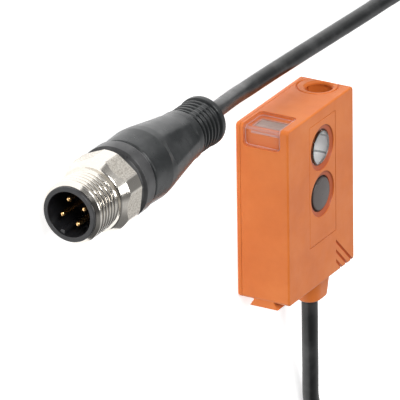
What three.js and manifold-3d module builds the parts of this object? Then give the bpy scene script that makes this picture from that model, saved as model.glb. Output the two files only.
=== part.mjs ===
// Miniature photoelectric sensor with a short pigtail and an M12 plug, as separate named pieces.
// Millimetres, +Z up. The sensor lies on its rear cover with the lenses facing up, and the plug
// and its cable lie on the same surface. The origin is under the middle of the sensor.

import * as THREE from 'three';
import { mergeVertices } from 'three/addons/utils/BufferGeometryUtils.js';
import Module from 'manifold-3d';

// ---------------------------------------------------------------- driving dimensions

// Sensor head: X across the lens face, Y from the cable end to the adjuster end, Z is the depth.
const HEAD_X = 25.7;
const HEAD_Y = 36.0;
const HEAD_Z = 11.3;
const CORNER_R = 0.8;
const MID_Z = HEAD_Z / 2;
const WALL = 1.3;
const FRONT_WALL = 1.8;
const COVER_T = 1.0; // rear cover
const SEAM = 0.1; // joint line between moulded pieces
const SIDE_RECESS = 0.2; // shallow field in the end face beside the adjuster
const SIDE_BAND_TOP = 1.85;
const SIDE_BAND_FOOT = 2.6;

// Cable boss, a tapered oval spout on the lower end.
const BOSS_X = 5.2; // cable axis
const BOSS_LENGTH = 6.5;
const BOSS_R = 2.4;
const BOSS_STRETCH = 1.9; // how far the oval runs on towards +X
const BOSS_FLARE = 1.3; // root size over end size
const BOSS_BORE_R = 1.9;

// Dovetail foot beside the boss.
const FOOT_LENGTH = 9.5;
const FOOT_HEIGHT = 1.3;
const FOOT_NECK = 4.4;
const FOOT_BASE = 6.1;
const FOOT_SETBACK = 0.15;

// Lens panel and the two lenses on it.
const PANEL_X = [-4.5, 5.6];
const PANEL_Y = [-9.1, 15.6];
const PANEL_T = 1.0;
const LENS_X = 0.45;
const EMITTER_Y = 9.9;
const RECEIVER_Y = 0.35;
const LENS_R = 3.3;
const LENS_DEPTH = 0.15; // lens front below the panel face
const RECESS_DEPTH = 0.45;
const LENS_FLANGE_R = 3.8;
const RECESS_R = 4.475;

// Three slanted grooves at the lower corner of the lens face.
const GROOVE_COUNT = 3;
const GROOVE_START = [5.6, -11.5]; // the longest one's upper end
const GROOVE_PITCH = 2.05;
const GROOVE_W = 0.4;
const GROOVE_DEPTH = 0.3;

// Adjuster well in the top end.
const WELL_X = HEAD_X / 2 - 3.45;
const WELL_R = 3.0;
const WELL_WALL = 0.9;
const WELL_LENGTH = 7.4;
const RIM_R = 3.8;
const RIM_DEPTH = 0.15;
const SCREW_TOP = HEAD_Y / 2 - 5; // the slotted face lies this deep in the well
const SCREW_R = 2.7;

// Status window, bent over the edge between the top end and the narrow face.
const WINDOW_W = 7.8;
const WINDOW_ON_TOP = 6.85;
const WINDOW_ON_FACE = 4.4;
const WINDOW_T = 0.8;

// Light guide: its head fills a slot in the wall under the window's upper leg.
const GUIDE_X = [-10.85, -7.55];
const GUIDE_HEAD_Y = [16.0, 17.05];
const GUIDE_HEAD_Z = [2.95, 8.75];
const GUIDE_STEM_Y = 12.4;
const GUIDE_STEM_Z = [4.2, 8.1];

// Circuit board.
const BOARD_Z = [2.0, 3.0];
const BOARD_X = [-10.9, 10.9];
const BOARD_Y = [-13.0, 15.9];
const BOARD_NOTCH_Y = 5.6; // beside the adjuster well

// M12 plug: distances run back from the front plane along its axis.
const PLUG_FRONT = [-85.7, 29.0, 7.25];
const THREAD_R = 6.0; // M12 x 1
const THREAD_ROOT_R = 5.45;
const THREAD_PITCH = 1.0;
const THREAD_S = [0.7, 7.1];
const NUT_BORE_R = 5.1;
const NUT_R = 7.4;
const NUT_FLATS = 14.0; // across flats
const NUT_S = [7.7, 13.95];
const NUT_FACE_R = 6.4;
const NUT_CHAMFER = 1.9; // length of the front cone
const NUT_TURN = -7; // degrees
const RING_S = [14.2, 18.9];
const RING_R = 7.2;
const GRIP_S = [19.1, 48.3];
const RIB_COUNT = 5; // on the neck of the grip
const RIB_START = 39.6;
const RIB_PITCH = 1.3;
const CARRIER_END = 26.0;
const CARRIER_R = 5.0;
const LIP_R = 5.3;
const CAVITY_R = 4.22;
const CAVITY_DEPTH = 9.0;
const KEY_ANGLE = -113; // degrees from +Z towards +Y
const PIN_ANGLES = [-68, -158, 112, 22];
const PIN_CIRCLE_R = 2.45;
const PIN_R = 0.5;
const PIN_S = [1.3, 11.8];

// Cable.
const CABLE_R = 1.6;
const CABLE_SIDES = 8;
const CABLE_STEPS = 48;
// Route from the boss to the plug, measured from the middle of the head. Z is the height.
const CABLE_ROUTE = [
  [5.2, -24.8, 5.65],
  [5.5, -29.2, 5.5],
  [6.3, -33.2, 5.05],
  [7.4, -37.0, 4.45],
  [8.8, -41.0, 3.7],
  [10.2, -45.0, 2.9],
  [11.6, -48.8, 2.2],
  [13.8, -53.2, 1.8],
  [17.2, -58.6, 1.65],
  [22.8, -65.0, 1.65],
  [30.0, -70.4, 1.65],
  [38.6, -74.0, 1.65],
  [48.0, -75.2, 1.65],
  [57.2, -73.8, 1.65],
  [65.4, -69.8, 1.65],
  [72.0, -63.4, 1.65],
  [76.8, -55.2, 1.65],
  [79.8, -46.0, 1.65],
  [81.2, -36.0, 1.65],
  [81.4, -25.6, 1.65],
  [80.6, -15.2, 1.65],
  [78.4, -5.2, 1.65],
  [74.6, 4.2, 1.65],
  [69.0, 12.4, 1.65],
  [61.8, 18.6, 1.65],
  [53.6, 21.8, 1.65],
  [45.4, 22.5, 1.65],
  [35.6, 22.8, 1.65],
  [22.6, 23.3, 1.65],
  [9.8, 23.8, 1.65],
  [-2.9, 24.3, 1.7],
  [-12.6, 25.0, 2.3],
  [-18.2, 26.0, 3.3],
  [-23.5, 27.1, 4.6],
  [-27.5, 27.9, 5.6],
  [-31.4, 28.6, 6.5],
  [-34.4, 28.95, 7.1],
  [-37.0, 29.0, 7.25],
];

// Finishes: colour, roughness, metalness.
const FINISH = {
  orange: [0xd9782f, 0.5, 0],
  clear: [0xe8c8b8, 0.15, 0],
  smoked: [0x4a4648, 0.2, 0],
  mirror: [0xe6e6e6, 0.15, 1],
  blackPlastic: [0x1b1c1d, 0.45, 0],
  blackRubber: [0x3a3d3e, 0.6, 0],
  nickel: [0xcfccc2, 0.25, 1],
  gold: [0xe0b36a, 0.25, 1],
  steel: [0xb8b8b8, 0.35, 1],
  board: [0x1f6b3a, 0.5, 0],
  chip: [0x222222, 0.5, 0],
  ceramic: [0xe8e2d2, 0.5, 0],
  yellow: [0xe9c13a, 0.3, 0],
  green: [0x59b34a, 0.3, 0],
  brownWire: [0x6b4326, 0.5, 0],
  whiteWire: [0xe9e7e0, 0.5, 0],
  blueWire: [0x2d5fa8, 0.5, 0],
  blackWire: [0x202020, 0.5, 0],
  white: [0xe9e9e4, 0.5, 0],
};

const wasm = await Module();
wasm.setup();

// ---------------------------------------------------------------- geometry helpers

const AXES = {
  x: new THREE.Matrix4().makeBasis(axis(0, 1, 0), axis(0, 0, 1), axis(1, 0, 0)),
  y: new THREE.Matrix4().makeBasis(axis(0, 0, 1), axis(1, 0, 0), axis(0, 1, 0)),
  z: new THREE.Matrix4(),
};

function axis(x, y, z) {
  return new THREE.Vector3(x, y, z);
}

// Merges shared corners and drops the triangles that a merge leaves without area.
function closed(geometry) {
  const bare = geometry.clone();
  for (const name of Object.keys(bare.attributes)) {
    if (name !== 'position') bare.deleteAttribute(name);
  }
  const merged = mergeVertices(bare, 1e-4);
  const index = Array.from(merged.index.array);
  const kept = [];
  for (let i = 0; i < index.length; i += 3) {
    const [a, b, c] = index.slice(i, i + 3);
    if (a !== b && b !== c && c !== a) kept.push(a, b, c);
  }
  merged.setIndex(kept);
  merged.clearGroups();
  return merged;
}

function solid(geometry) {
  const mesh = closed(geometry);
  return new wasm.Manifold(new wasm.Mesh({
    numProp: 3,
    vertProperties: new Float32Array(mesh.attributes.position.array),
    triVerts: new Uint32Array(mesh.index.array),
  }));
}

function geometryOf(manifold) {
  const mesh = manifold.getMesh();
  const geometry = new THREE.BufferGeometry();
  const position = new THREE.BufferAttribute(new Float32Array(mesh.vertProperties), 3);
  geometry.setAttribute('position', position);
  geometry.setIndex(Array.from(mesh.triVerts));
  return geometry;
}

// First geometry with the others cut from it.
function cut(base, ...tools) {
  let result = solid(base);
  for (const tool of tools) result = result.subtract(solid(tool));
  return geometryOf(result);
}

function join(...pieces) {
  let result = solid(pieces[0]);
  for (const piece of pieces.slice(1)) result = result.add(solid(piece));
  return geometryOf(result);
}

function overlap(a, b) {
  return geometryOf(solid(a).intersect(solid(b)));
}

function block([x0, x1], [y0, y1], [z0, z1]) {
  const geometry = new THREE.BoxGeometry(x1 - x0, y1 - y0, z1 - z0);
  return geometry.translate((x0 + x1) / 2, (y0 + y1) / 2, (z0 + z1) / 2);
}

// An outline pushed along an axis. The outline's plane is the next two axes in the order X, Y, Z.
function prism(shape, along, from, to) {
  const geometry = new THREE.ExtrudeGeometry(shape, {
    depth: to - from,
    bevelEnabled: false,
    curveSegments: 8,
  });
  return geometry.translate(0, 0, from).applyMatrix4(AXES[along]);
}

function outline(points) {
  return new THREE.Shape(points.map(([u, v]) => new THREE.Vector2(u, v)));
}

// A rectangle with rounded corners, as four arcs.
function roundedRectangle([u0, u1], [v0, v1], r) {
  const shape = new THREE.Shape();
  shape.absarc(u1 - r, v0 + r, r, -Math.PI / 2, 0);
  shape.absarc(u1 - r, v1 - r, r, 0, Math.PI / 2);
  shape.absarc(u0 + r, v1 - r, r, Math.PI / 2, Math.PI);
  shape.absarc(u0 + r, v0 + r, r, Math.PI, Math.PI * 1.5);
  return shape;
}

// A plate in the X-Y plane with rounded corners; few points keep it light.
function plate(x, y, [z0, z1], r) {
  const shape = new THREE.Shape(roundedRectangle(x, y, r).getPoints(3));
  return prism(shape, 'z', z0, z1);
}

// A turned piece: [distance along the axis, radius] points, on the given axis through a centre.
function turned(points, along, centre, segments = 24) {
  const profile = points.map(([distance, radius]) => new THREE.Vector2(radius, distance));
  const geometry = new THREE.LatheGeometry(profile, segments);
  if (along === 'x') geometry.rotateZ(-Math.PI / 2);
  if (along === 'z') geometry.rotateX(Math.PI / 2);
  return geometry.translate(...centre);
}

function rod(along, centre, [from, to], radius, segments = 24) {
  return turned([[from, 0], [from, radius], [to, radius], [to, 0]], along, centre, segments);
}

function pipe(along, centre, [from, to], inner, outer, segments = 24) {
  const points = [[from, inner], [from, outer], [to, outer], [to, inner], [from, inner]];
  return turned(points, along, centre, segments);
}

function cone(along, centre, [from, to], [radiusFrom, radiusTo], segments = 24) {
  const points = [[from, 0], [from, radiusFrom], [to, radiusTo], [to, 0]];
  return turned(points, along, centre, segments);
}

// A round section swept along a smooth line.
function tube(points, radius, sides, steps) {
  const section = new THREE.Shape();
  for (let i = 0; i < sides; i += 1) {
    const angle = (2 * Math.PI * i) / sides;
    const [u, v] = [radius * Math.cos(angle), radius * Math.sin(angle)];
    if (i === 0) section.moveTo(u, v);
    else section.lineTo(u, v);
  }
  const path = new THREE.CatmullRomCurve3(points.map((p) => axis(...p)), false, 'centripetal');
  return new THREE.ExtrudeGeometry(section, { extrudePath: path, steps, bevelEnabled: false });
}

// A point on a circle around the plug's axis; 0 degrees is up and 90 is +Y.
function aroundPlug(radius, degrees) {
  const angle = THREE.MathUtils.degToRad(degrees);
  return [radius * Math.sin(angle), radius * Math.cos(angle)];
}

// ---------------------------------------------------------------- assembly helpers

const assembly = new THREE.Group();
assembly.position.y = BOSS_LENGTH / 2; // puts the origin under the middle of head and boss

const plug = new THREE.Group();
plug.position.set(...PLUG_FRONT);
assembly.add(plug);

function add(name, geometry, finish, group = assembly) {
  const [color, roughness, metalness] = FINISH[finish];
  const material = new THREE.MeshStandardMaterial({ color, roughness, metalness });
  const mesh = new THREE.Mesh(closed(geometry), material);
  mesh.name = name;
  group.add(mesh);
}

// ---------------------------------------------------------------- housing

const WINDOW_Z = [MID_Z - WINDOW_W / 2, MID_Z + WINDOW_W / 2];

// The L shape of the status window, grown by a margin and run past the outer faces by proud.
function windowShape(margin, thickness, proud) {
  const left = -HEAD_X / 2;
  const top = HEAD_Y / 2;
  const z = [WINDOW_Z[0] - margin, WINDOW_Z[1] + margin];
  const shape = outline([
    [left - proud, top + proud],
    [left - proud, top - WINDOW_ON_FACE - margin],
    [left + thickness, top - WINDOW_ON_FACE - margin],
    [left + thickness, top - thickness],
    [left + WINDOW_ON_TOP + margin, top - thickness],
    [left + WINDOW_ON_TOP + margin, top + proud],
  ]);
  return prism(shape, 'z', ...z);
}

function bossShape() {
  const shape = roundedRectangle(
    [MID_Z - BOSS_R, MID_Z + BOSS_R],
    [BOSS_X - BOSS_R, BOSS_X + BOSS_STRETCH + BOSS_R],
    BOSS_R,
  );
  const end = -HEAD_Y / 2 - BOSS_LENGTH;
  const root = -HEAD_Y / 2 + WALL / 2;
  const boss = prism(new THREE.Shape(shape.getPoints(5)), 'y', end, root);
  const position = boss.attributes.position;
  const middle = BOSS_X + BOSS_STRETCH / 2;
  for (let i = 0; i < position.count; i += 1) {
    if (position.getY(i) > end + 1e-3) {
      position.setX(i, middle + (position.getX(i) - middle) * BOSS_FLARE);
      position.setZ(i, MID_Z + (position.getZ(i) - MID_Z) * BOSS_FLARE);
    }
  }
  return boss;
}

function footShape() {
  const top = -HEAD_Y / 2 + WALL / 2;
  const neck = -HEAD_Y / 2;
  const base = neck - FOOT_HEIGHT;
  const shape = outline([
    [top, MID_Z - FOOT_NECK / 2],
    [neck, MID_Z - FOOT_NECK / 2],
    [base, MID_Z - FOOT_BASE / 2],
    [base, MID_Z + FOOT_BASE / 2],
    [neck, MID_Z + FOOT_NECK / 2],
    [top, MID_Z + FOOT_NECK / 2],
  ]);
  const start = -HEAD_X / 2 + FOOT_SETBACK;
  return prism(shape, 'x', start, start + FOOT_LENGTH);
}

// A shallow trough at 45 degrees from its start to past the lower edge.
function groove(number) {
  const [x, top] = GROOVE_START;
  const y = top - number * GROOVE_PITCH;
  const reach = y + HEAD_Y / 2 + 1;
  const half = GROOVE_W / Math.SQRT2;
  const shape = outline([
    [x, y - half],
    [x + reach, y - half - reach],
    [x + reach, y + half - reach],
    [x, y + half],
  ]);
  return prism(shape, 'z', HEAD_Z - GROOVE_DEPTH, HEAD_Z + 1);
}

function grown([low, high]) {
  return [low - SEAM, high + SEAM];
}

function housingShell() {
  const x = [-HEAD_X / 2, HEAD_X / 2];
  const y = [-HEAD_Y / 2, HEAD_Y / 2];
  const z0 = COVER_T + SEAM;
  const ceiling = HEAD_Z - FRONT_WALL;
  const outer = plate(x, y, [z0, HEAD_Z], CORNER_R);
  const inner = block([x[0] + WALL, x[1] - WALL], [y[0] + WALL, y[1] - WALL], [z0 - 1, ceiling]);
  const wellAxis = [WELL_X, 0, MID_Z];
  const wellSpan = [y[1] - WELL_LENGTH, y[1] - RIM_DEPTH / 2];
  const wellTube = rod('y', wellAxis, wellSpan, WELL_R + WELL_WALL);
  const walls = join(cut(outer, inner), overlap(wellTube, outer));
  const recess = block(
    [x[1] - SIDE_RECESS, x[1] + 1],
    [y[0] + SIDE_BAND_FOOT, y[1] - SIDE_BAND_TOP],
    [0, HEAD_Z + 1],
  );
  const panelSeat = block(
    [PANEL_X[0] - SEAM, PANEL_X[1] + SEAM],
    [PANEL_Y[0] - SEAM, PANEL_Y[1] + SEAM],
    [HEAD_Z - PANEL_T - SEAM, HEAD_Z + 1],
  );
  const lensHoles = [EMITTER_Y, RECEIVER_Y].map((lensY) => (
    rod('z', [LENS_X, lensY, 0], [ceiling - 1, HEAD_Z], LENS_FLANGE_R + SEAM)
  ));
  const grooves = Array.from({ length: GROOVE_COUNT }, (_, number) => groove(number));
  return cut(
    join(walls, bossShape(), footShape()),
    recess,
    panelSeat,
    ...lensHoles,
    ...grooves,
    rod('y', wellAxis, [0, y[1] + 1], WELL_R),
    rod('y', wellAxis, [y[1] - RIM_DEPTH, y[1] + 1], RIM_R),
    windowShape(SEAM, WINDOW_T + SEAM, 1),
    block(grown(GUIDE_X), [GUIDE_HEAD_Y[0], y[1]], grown(GUIDE_HEAD_Z)),
    rod('y', [BOSS_X, 0, MID_Z], [y[0] - BOSS_LENGTH - 1, y[0] + WALL + 1], BOSS_BORE_R),
  );
}

function rearCover() {
  return plate([-HEAD_X / 2, HEAD_X / 2], [-HEAD_Y / 2, HEAD_Y / 2], [0, COVER_T], CORNER_R);
}

// The panel's two recesses narrow like a funnel down to each lens.
function lensPanel() {
  const face = HEAD_Z;
  const sinks = [EMITTER_Y, RECEIVER_Y].flatMap((lensY) => {
    const centre = [LENS_X, lensY, 0];
    return [
      cone('z', centre, [face - RECESS_DEPTH, face + 0.01], [LENS_R + SEAM, RECESS_R], 32),
      rod('z', centre, [face - PANEL_T - 1, face - RECESS_DEPTH + 0.01], LENS_R + SEAM, 32),
    ];
  });
  return cut(block(PANEL_X, PANEL_Y, [face - PANEL_T, face]), ...sinks);
}

// ---------------------------------------------------------------- optics

const LENS_TOP = HEAD_Z - LENS_DEPTH;
const LENS_SEAT = HEAD_Z - PANEL_T - SEAM;
const OPTICS_TOP = HEAD_Z - FRONT_WALL - SEAM;
const OPTICS_X = [-4.4, 5.2];
const OPTICS_Y = [-4.3, 14.5];
const OPTICS_FLOOR = 3.3;
const BORE_FLOOR = 4.9;
const EMITTER_BORE = [1.9, 3.65]; // radii at the bore's floor and at the lens
const RECEIVER_BORE = [1.4, 3.3];
const LED_BORE_R = 1.5;
const DIODE_POCKET = 2.8;
const REFLECTOR_T = 0.4;
const REFLECTOR_R = [1.8, 3.55];

function lens(y) {
  const profile = [
    [OPTICS_TOP + SEAM, 0],
    [OPTICS_TOP + SEAM, LENS_FLANGE_R],
    [LENS_SEAT, LENS_FLANGE_R],
    [LENS_SEAT, LENS_R],
    [LENS_TOP - 0.1, LENS_R],
    [LENS_TOP, LENS_R * 0.6],
    [LENS_TOP, 0],
  ];
  return turned(profile, 'z', [LENS_X, y, 0]);
}

function opticsBlock() {
  const body = block(OPTICS_X, OPTICS_Y, [OPTICS_FLOOR, OPTICS_TOP]);
  const emitterAxis = [LENS_X, EMITTER_Y, 0];
  const receiverAxis = [LENS_X, RECEIVER_Y, 0];
  const pocket = DIODE_POCKET / 2;
  return cut(
    body,
    cone('z', emitterAxis, [BORE_FLOOR, OPTICS_TOP + 0.01], EMITTER_BORE),
    rod('z', emitterAxis, [0, BORE_FLOOR + 0.1], LED_BORE_R),
    cone('z', receiverAxis, [BORE_FLOOR, OPTICS_TOP + 0.01], RECEIVER_BORE),
    block(
      [LENS_X - pocket, LENS_X + pocket],
      [RECEIVER_Y - pocket, RECEIVER_Y + pocket],
      [0, BORE_FLOOR + 0.1],
    ),
  );
}

function reflector() {
  const floor = BORE_FLOOR + SEAM;
  const points = [
    [floor, REFLECTOR_R[0] - REFLECTOR_T],
    [floor, REFLECTOR_R[0]],
    [OPTICS_TOP, REFLECTOR_R[1]],
    [OPTICS_TOP, REFLECTOR_R[1] - REFLECTOR_T],
    [floor, REFLECTOR_R[0] - REFLECTOR_T],
  ];
  return turned(points, 'z', [LENS_X, EMITTER_Y, 0]);
}

function emitterDie() {
  const foot = BOARD_Z[1] + SEAM;
  const profile = [[foot, 0], [foot, 1.2], [4.4, 1.2], [4.9, 0.8], [5.1, 0]];
  return turned(profile, 'z', [LENS_X, EMITTER_Y, 0], 16);
}

// A package on the board, by the middle of its footprint and its size.
function chip(x, y, sizeX, sizeY, height) {
  const foot = BOARD_Z[1] + SEAM;
  return block(
    [x - sizeX / 2, x + sizeX / 2],
    [y - sizeY / 2, y + sizeY / 2],
    [foot, foot + height],
  );
}

function lightGuide() {
  const head = block(GUIDE_X, GUIDE_HEAD_Y, GUIDE_HEAD_Z);
  const stem = block(GUIDE_X, [GUIDE_STEM_Y, GUIDE_HEAD_Y[0] + 0.1], GUIDE_STEM_Z);
  return join(head, stem);
}

function circuitBoard() {
  const notchX = [WELL_X - WELL_R - 1.4, BOARD_X[1] + 1];
  const notch = block(notchX, [BOARD_NOTCH_Y, BOARD_Y[1] + 1], [0, HEAD_Z]);
  return cut(block(BOARD_X, BOARD_Y, BOARD_Z), notch);
}

// ---------------------------------------------------------------- adjuster

const ADJUSTER_AXIS = [WELL_X, 0, MID_Z];
const SCREW_HEAD = 1.0;
const SCREW_STEM_R = 1.0;
const SCREW_GROOVE_R = 2.0; // under the seal
const SLOT_LENGTH = 4.4;
const SLOT_W = 0.7;
const SEAL_T = 0.8;
const SCREW_FOOT = SCREW_TOP - SCREW_HEAD - SEAL_T - 0.6;
const POT_TOP = HEAD_Y / 2 - WELL_LENGTH - SEAM;

function adjusterScrew() {
  const body = turned([
    [SCREW_FOOT - 2.2, 0],
    [SCREW_FOOT - 2.2, SCREW_STEM_R],
    [SCREW_FOOT, SCREW_STEM_R],
    [SCREW_FOOT, SCREW_R],
    [SCREW_FOOT + 0.6, SCREW_R],
    [SCREW_FOOT + 0.6, SCREW_GROOVE_R],
    [SCREW_TOP - SCREW_HEAD, SCREW_GROOVE_R],
    [SCREW_TOP - SCREW_HEAD, SCREW_R],
    [SCREW_TOP, SCREW_R],
    [SCREW_TOP, 0],
  ], 'y', ADJUSTER_AXIS);
  const slot = block(
    [WELL_X - SLOT_LENGTH / 2, WELL_X + SLOT_LENGTH / 2],
    [SCREW_TOP - SLOT_W, SCREW_TOP + 1],
    [MID_Z - SLOT_W / 2, MID_Z + SLOT_W / 2],
  );
  return cut(body, slot);
}

function adjusterBody() {
  const body = block([WELL_X - 2.6, WELL_X + 2.1], [POT_TOP - 4.2, POT_TOP], [3.2, 8.0]);
  return cut(body, rod('y', ADJUSTER_AXIS, [POT_TOP - 3, POT_TOP + 1], 1.15, 16));
}

function adjusterSeal() {
  const low = SCREW_TOP - SCREW_HEAD - SEAL_T + 0.1;
  return pipe('y', ADJUSTER_AXIS, [low, low + SEAL_T - 0.2], SCREW_GROOVE_R + SEAM, 2.85);
}

// ---------------------------------------------------------------- cable entry

const ENTRY_END = -HEAD_Y / 2 + 3.2;

function entryPlug() {
  const span = [-HEAD_Y / 2 - BOSS_LENGTH + 0.15, ENTRY_END];
  return rod('y', [BOSS_X, 0, MID_Z], span, BOSS_BORE_R - SEAM, 16);
}

function crimpRing() {
  const span = [-HEAD_Y / 2 + WALL + SEAM, ENTRY_END - 0.2];
  return pipe('y', [BOSS_X, 0, MID_Z], span, BOSS_BORE_R, BOSS_BORE_R + 0.6, 16);
}

// A core from the cable's end down to its pad on the board.
function core(padX, startX, startZ) {
  const start = ENTRY_END + SEAM;
  const pad = BOARD_Z[1] + SEAM;
  const padY = BOARD_Y[0] + 2.4;
  return tube([
    [startX, start, startZ],
    [startX, start + 0.9, startZ],
    [(startX + padX) / 2, start + 2.0, (startZ + pad) / 2 + 1.0],
    [padX, padY, pad + 1.2],
    [padX, padY, pad],
  ], 0.4, 8, 8);
}

// ---------------------------------------------------------------- plug

// Ring-shaped thread turns between a front chamfer and the run-out.
function threadProfile() {
  const [front, back] = THREAD_S;
  const points = [[front, NUT_BORE_R], [front, THREAD_ROOT_R]];
  const turns = Math.floor((back - front - 0.6) / THREAD_PITCH);
  for (let i = 0; i < turns; i += 1) {
    const start = front + 0.3 + i * THREAD_PITCH;
    points.push([start + 0.5 * THREAD_PITCH, THREAD_R], [start + THREAD_PITCH, THREAD_ROOT_R]);
  }
  return points;
}

function couplingNut() {
  const [shoulder, back] = NUT_S;
  const body = turned([
    ...threadProfile(),
    [shoulder, THREAD_ROOT_R],
    [shoulder, NUT_FACE_R],
    [shoulder + NUT_CHAMFER, NUT_R],
    [back, NUT_R],
    [back, NUT_BORE_R],
    [THREAD_S[0], NUT_BORE_R],
  ], 'x', [0, 0, 0], 36);
  const corner = NUT_FLATS / 2 / Math.cos(Math.PI / 6);
  const hexagon = Array.from({ length: 6 }, (_, i) => {
    const angle = THREE.MathUtils.degToRad(30 + NUT_TURN + i * 60);
    return [corner * Math.sin(angle), corner * Math.cos(angle)];
  }).reverse();
  return overlap(body, prism(outline(hexagon), 'x', 0, back + 1));
}

function contactCarrier() {
  const body = turned([
    [CAVITY_DEPTH, 0],
    [CAVITY_DEPTH, CAVITY_R],
    [0.3, CAVITY_R],
    [0, CAVITY_R + 0.3],
    [0, LIP_R - 0.3],
    [0.3, LIP_R],
    [THREAD_S[0] - SEAM, LIP_R],
    [THREAD_S[0] - SEAM, CARRIER_R],
    [CARRIER_END, CARRIER_R],
    [CARRIER_END, 0],
  ], 'x', [0, 0, 0], 32);
  const [keyY, keyZ] = aroundPlug(CAVITY_R, KEY_ANGLE);
  const key = rod('x', [0, keyY, keyZ], [0.4, CAVITY_DEPTH + 0.5], 0.6, 12);
  const holes = PIN_ANGLES.map((degrees) => {
    const [y, z] = aroundPlug(PIN_CIRCLE_R, degrees);
    return rod('x', [0, y, z], [CAVITY_DEPTH - 1, PIN_S[1] + SEAM], PIN_R + SEAM, 12);
  });
  return cut(join(body, key), ...holes);
}

function contactPin(degrees) {
  const [tip, tail] = PIN_S;
  const [y, z] = aroundPlug(PIN_CIRCLE_R, degrees);
  const profile = [[tip, 0], [tip, PIN_R * 0.5], [tip + 0.4, PIN_R], [tail, PIN_R], [tail, 0]];
  return turned(profile, 'x', [0, y, z], 12);
}

function lockRing() {
  const [front, back] = RING_S;
  return turned([
    [front, CARRIER_R + SEAM],
    [front, RING_R - 0.3],
    [front + 0.3, RING_R],
    [back - 0.3, RING_R],
    [back, RING_R - 0.3],
    [back, CARRIER_R + SEAM],
    [front, CARRIER_R + SEAM],
  ], 'x', [0, 0, 0], 32);
}

// Body, taper, ribbed neck and end collar in one outline.
function gripBody() {
  const [front, back] = GRIP_S;
  const points = [
    [front, CARRIER_R + SEAM],
    [front, 6.5],
    [front + 0.3, 6.8],
    [25.1, 7.1],
    [27.0, 6.92],
    [30.0, 6.42],
    [34.0, 5.75],
    [38.2, 5.1],
    [39.2, 5.0],
  ];
  for (let i = 0; i < RIB_COUNT; i += 1) {
    const start = RIB_START + i * RIB_PITCH;
    points.push([start, 4.45], [start + 0.5, 4.45], [start + 0.7, 4.75], [start + 1.1, 4.7]);
  }
  points.push([46.2, 4.3], [47.0, 4.4], [47.2, 4.9], [back - 0.3, 4.9], [back, 4.6], [back, 0]);
  points.push([CARRIER_END + SEAM, 0], [CARRIER_END + SEAM, CARRIER_R + SEAM]);
  points.push([front, CARRIER_R + SEAM]);
  return turned(points, 'x', [0, 0, 0], 28);
}

// ---------------------------------------------------------------- the assembly

add('housing_shell', housingShell(), 'orange');
add('rear_cover', rearCover(), 'orange');
add('lens_panel', lensPanel(), 'orange');
add('status_window', windowShape(0, WINDOW_T, 0), 'clear');
add('transmitter_lens', lens(EMITTER_Y), 'clear');
add('receiver_lens', lens(RECEIVER_Y), 'smoked');
add('optics_block', opticsBlock(), 'blackPlastic');
add('emitter_reflector', reflector(), 'mirror');
add('emitter_led', emitterDie(), 'clear');
add('photodiode', chip(LENS_X, RECEIVER_Y, 2.4, 2.4, 1.2), 'chip');
add('circuit_board', circuitBoard(), 'board');
add('processor_chip', chip(-7.9, 4.0, 4.4, 4.4, 0.9), 'chip');
add('driver_chip', chip(-7.9, -3.2, 3.9, 4.9, 1.4), 'chip');
add('regulator_chip', chip(8.3, -4.4, 3.0, 3.4, 1.2), 'chip');
add('smoothing_capacitor', chip(8.2, 0.4, 3.2, 1.8, 1.6), 'ceramic');
add('board_connector', chip(-2.4, -8.2, 4.2, 2.4, 1.6), 'white');
add('status_led_yellow', chip(-10.0, 14.6, 1.2, 1.6, 0.8), 'yellow');
add('status_led_green', chip(-8.4, 14.6, 1.2, 1.6, 0.8), 'green');
add('light_guide', lightGuide(), 'clear');

add('adjuster_body', adjusterBody(), 'white');
add('adjuster_screw', adjusterScrew(), 'white');
add('adjuster_seal', adjusterSeal(), 'blackRubber');

add('cable_entry_plug', entryPlug(), 'blackRubber');
add('crimp_ring', crimpRing(), 'steel');
const CORES = [
  ['core_brown', 3.6, 4.9, 6.2, 'brownWire'],
  ['core_white', 5.0, 5.2, 4.8, 'whiteWire'],
  ['core_blue', 6.5, 6.2, 4.8, 'blueWire'],
  ['core_black', 8.0, 6.5, 6.2, 'blackWire'],
];
for (const [name, padX, startX, startZ, finish] of CORES) {
  add(name, core(padX, startX, startZ), finish);
}

add('coupling_nut', couplingNut(), 'nickel', plug);
add('contact_carrier', contactCarrier(), 'blackPlastic', plug);
PIN_ANGLES.forEach((degrees, i) => add(`contact_pin_${i + 1}`, contactPin(degrees), 'gold', plug));
add('lock_ring', lockRing(), 'blackPlastic', plug);
add('grip_body', gripBody(), 'blackRubber', plug);
add('cable', tube(CABLE_ROUTE, CABLE_R, CABLE_SIDES, CABLE_STEPS), 'blackRubber');

export default assembly;
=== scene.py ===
# Photoelectric sensor with a short lead and an M12 plug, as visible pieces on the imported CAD
# frame. Modelling is in millimetres; piece() turns it into metres in the row frame.

import bmesh
import bpy
import math
from mathutils import Matrix, Vector


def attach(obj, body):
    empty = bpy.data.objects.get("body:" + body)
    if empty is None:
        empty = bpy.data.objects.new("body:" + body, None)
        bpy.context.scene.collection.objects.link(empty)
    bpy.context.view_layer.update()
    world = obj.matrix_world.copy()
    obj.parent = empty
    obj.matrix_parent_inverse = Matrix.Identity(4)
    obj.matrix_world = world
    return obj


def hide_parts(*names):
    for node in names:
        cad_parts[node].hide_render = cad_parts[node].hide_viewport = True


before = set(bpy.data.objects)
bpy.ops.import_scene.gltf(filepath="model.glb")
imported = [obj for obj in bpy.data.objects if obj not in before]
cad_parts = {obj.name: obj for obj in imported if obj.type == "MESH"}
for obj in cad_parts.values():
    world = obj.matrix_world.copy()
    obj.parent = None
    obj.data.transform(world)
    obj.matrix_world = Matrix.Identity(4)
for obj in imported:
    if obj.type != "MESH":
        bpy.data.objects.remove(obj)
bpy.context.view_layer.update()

# ---------------------------------------------------------------- driving dimensions
# The main sizes are the CAD's. "own" marks one that differs from the CAD or isn't in
# it, and most edge roundings and fits are own too.

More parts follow.
